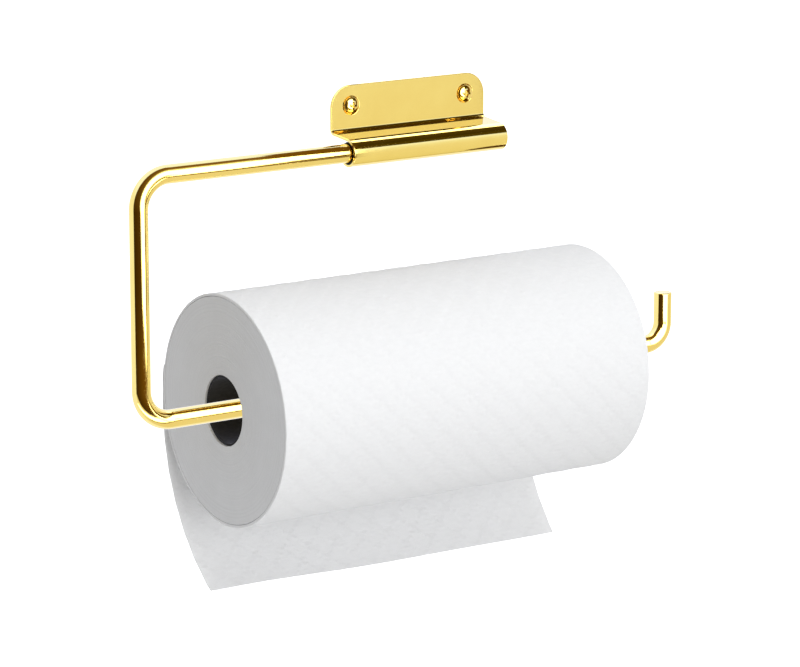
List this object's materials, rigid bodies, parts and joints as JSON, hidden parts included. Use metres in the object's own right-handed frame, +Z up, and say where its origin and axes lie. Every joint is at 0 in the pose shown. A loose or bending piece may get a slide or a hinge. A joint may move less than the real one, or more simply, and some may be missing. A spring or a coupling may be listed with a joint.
{
  "type": "paper towel holder",
  "caption": "Wall-mounted swing-arm paper towel holder: a bent plate with a rolled barrel carries a bent rod that holds a roll of paper.",
  "frame": {"origin": "centre of the plate's back face, on the wall", "axes": "+Y into the wall, +X along the barrel from its open left end to its plugged right end, +Z up with the arm hanging down"},
  "size_m": [0.3248, 0.1164, 0.248],
  "materials": {
    "polished_gold": "polished gold plate, mirror-bright",
    "black_nylon": "matte black nylon",
    "zinc_steel": "satin zinc plate",
    "towel_paper": "matte embossed tissue paper",
    "core_cardboard": "matte spiral-wound card"
  },
  "bodies": {
    "bracket": {"wall_bracket": "polished_gold", "left_bush": "black_nylon", "right_bush": "black_nylon", "end_plug": "black_nylon", "mounting_screw_left": "polished_gold", "mounting_screw_right": "polished_gold"},
    "arm": {"swing_arm": "polished_gold", "retaining_washer": "zinc_steel", "retaining_screw": "zinc_steel"},
    "roll": {"paper_winding": "towel_paper", "cardboard_core": "core_cardboard"},
    "sheet": {"loose_sheet": "towel_paper"}
  },
  "joints": [
    {"name": "arm_swing", "type": "hinge", "parent": "bracket", "child": "arm", "pos_m": [0, -0.0156, -0.0184], "axis": [-1, 0, 0], "range_deg": [-5, 155]},
    {"name": "roll_spin", "type": "hinge", "parent": "arm", "child": "roll", "pos_m": [0, -0.0156, -0.1384], "axis": [1, 0, 0], "continuous": true},
    {"name": "sheet_hang", "type": "hinge", "parent": "arm", "child": "sheet", "pos_m": [0, -0.0156, -0.1384], "axis": [-1, 0, 0], "range_deg": [-160, 10]}
  ],
  "couplings": [
    {"joint": "sheet_hang", "follows": "arm_swing", "ratio": -1}
  ]
}
